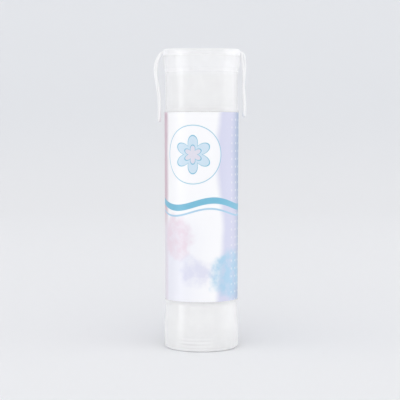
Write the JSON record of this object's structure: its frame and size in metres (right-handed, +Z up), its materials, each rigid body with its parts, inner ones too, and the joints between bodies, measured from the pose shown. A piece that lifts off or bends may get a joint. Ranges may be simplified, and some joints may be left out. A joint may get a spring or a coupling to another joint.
{
  "type": "pack of cotton pads",
  "caption": "Tall round pack of white cotton pads in a clear film bag with a printed middle, a hem round its open mouth and a drawstring that hangs as a loop at each side.",
  "frame": {"origin": "middle of the flat foot that the pack stands on", "axes": "+Z up along the stack of pads towards the mouth, +X to the right seen from the front, -Y towards the viewer of the printed front"},
  "size_m": [0.0745, 0.0616, 0.2387],
  "materials": {
    "film": "thin clear glossy film, with an opaque pastel print round the middle in the visual model",
    "cotton": "soft matt white cotton wool with pressed faces",
    "cord": "matt white twisted cord"
  },
  "bodies": {
    "root": {"film_bag": "film", "cotton_pads": "cotton", "drawstring": "cord"}
  },
  "joints": []
}
